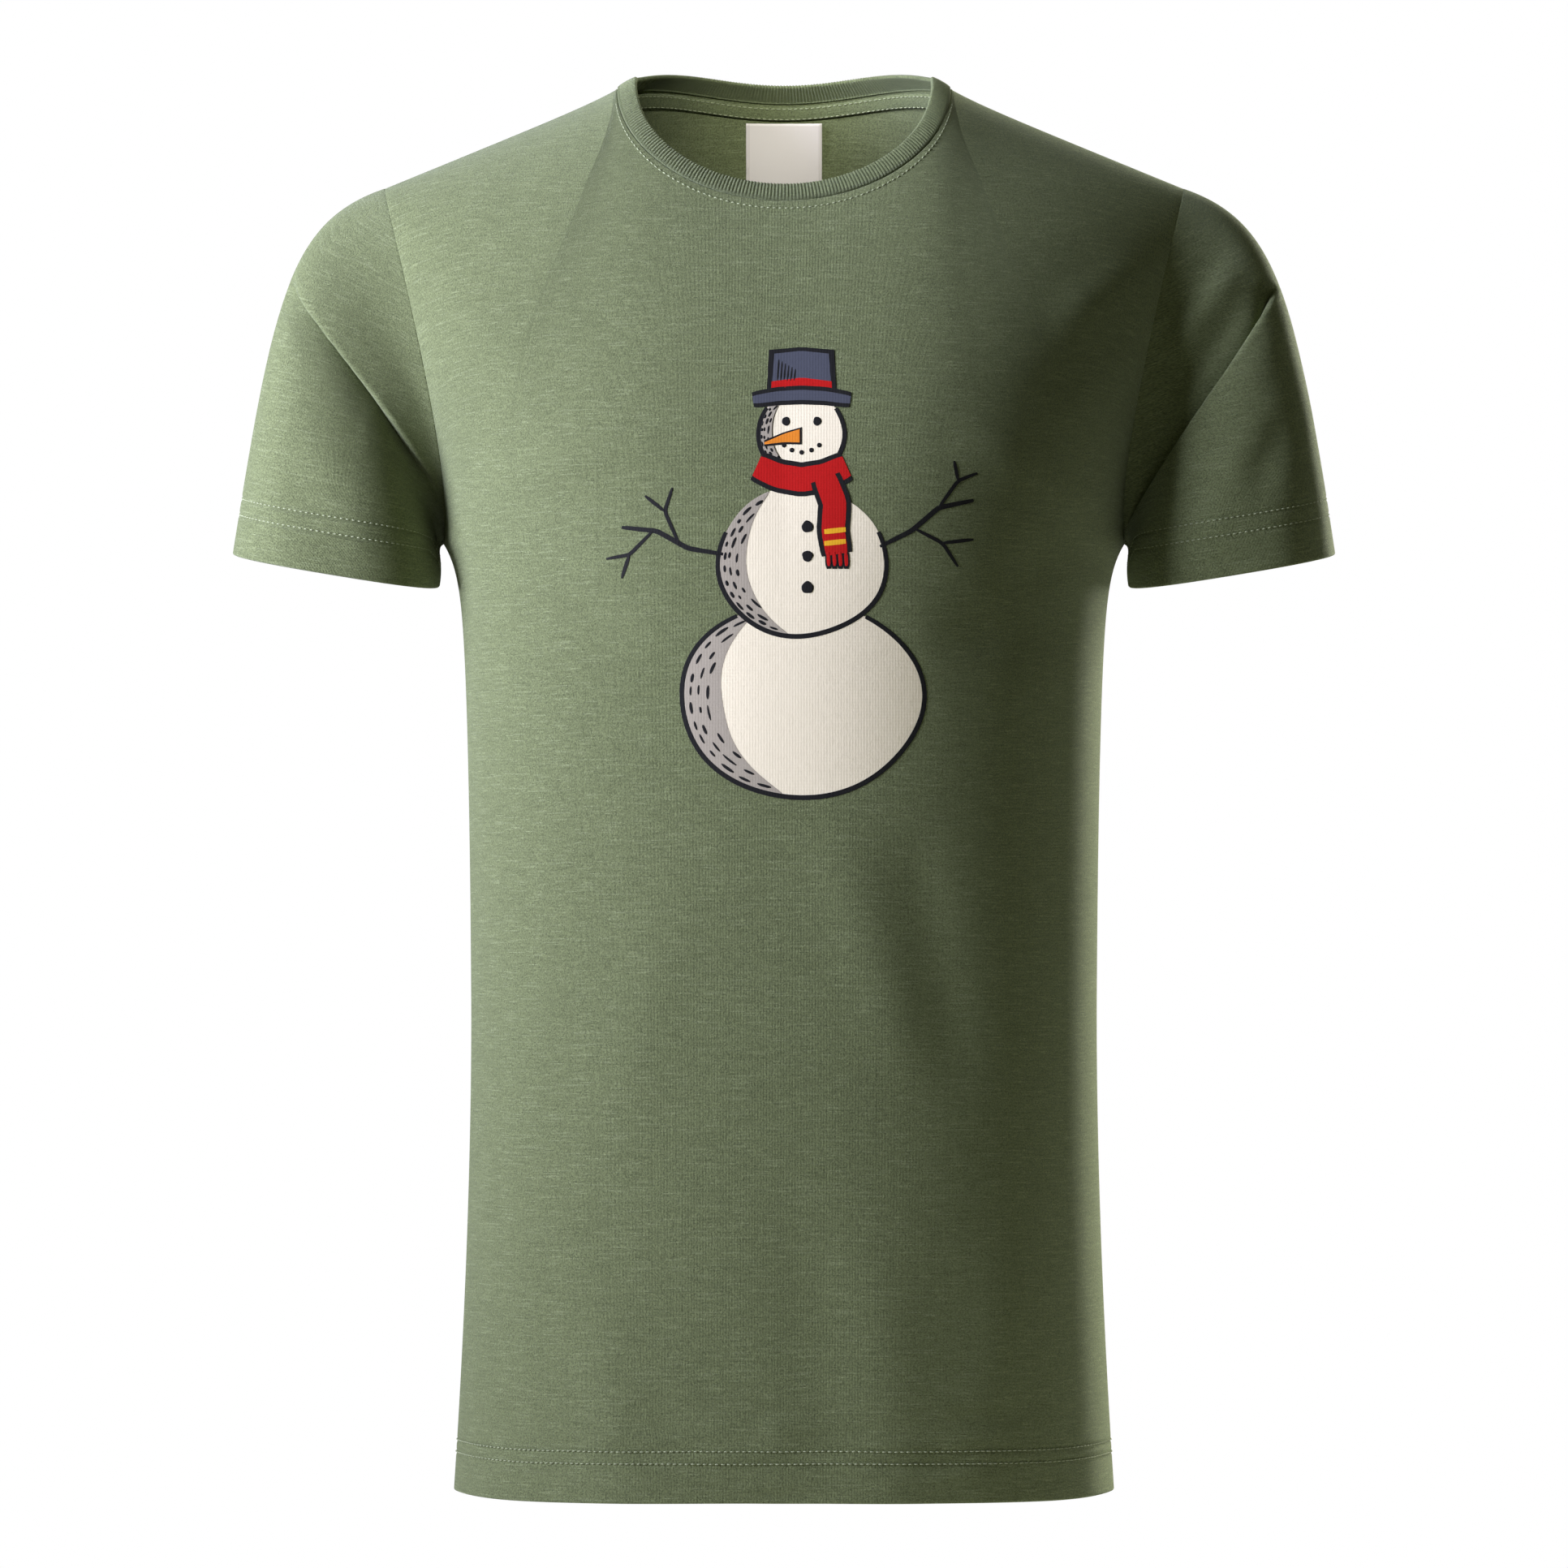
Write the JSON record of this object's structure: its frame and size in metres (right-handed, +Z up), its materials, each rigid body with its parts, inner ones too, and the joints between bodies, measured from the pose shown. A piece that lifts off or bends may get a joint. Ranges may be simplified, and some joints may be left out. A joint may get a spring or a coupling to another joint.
{
  "type": "t-shirt",
  "caption": "Short-sleeved crew-neck jersey T-shirt in its worn shape, hollow and open at neck, sleeves and hem, with a chest print and a label inside the nape.",
  "frame": {"origin": "midway between the two high shoulder points, where the collar seam meets the shoulder seams", "axes": "+Z up along the body, the chest faces -Y, +X to the wearer's left"},
  "size_m": [0.5828, 0.2421, 0.7571],
  "materials": {
    "jersey": "matte slub cotton jersey",
    "rib": "matte cotton rib knit",
    "tape": "matte jersey tape",
    "label": "smooth woven satin",
    "print": "matte transfer film"
  },
  "bodies": {
    "root": {"front_panel": "jersey", "back_panel": "jersey", "sleeve_left": "jersey", "sleeve_right": "jersey", "neck_rib": "rib", "neck_tape": "tape", "neck_label": "label", "chest_print": "print"}
  },
  "joints": []
}
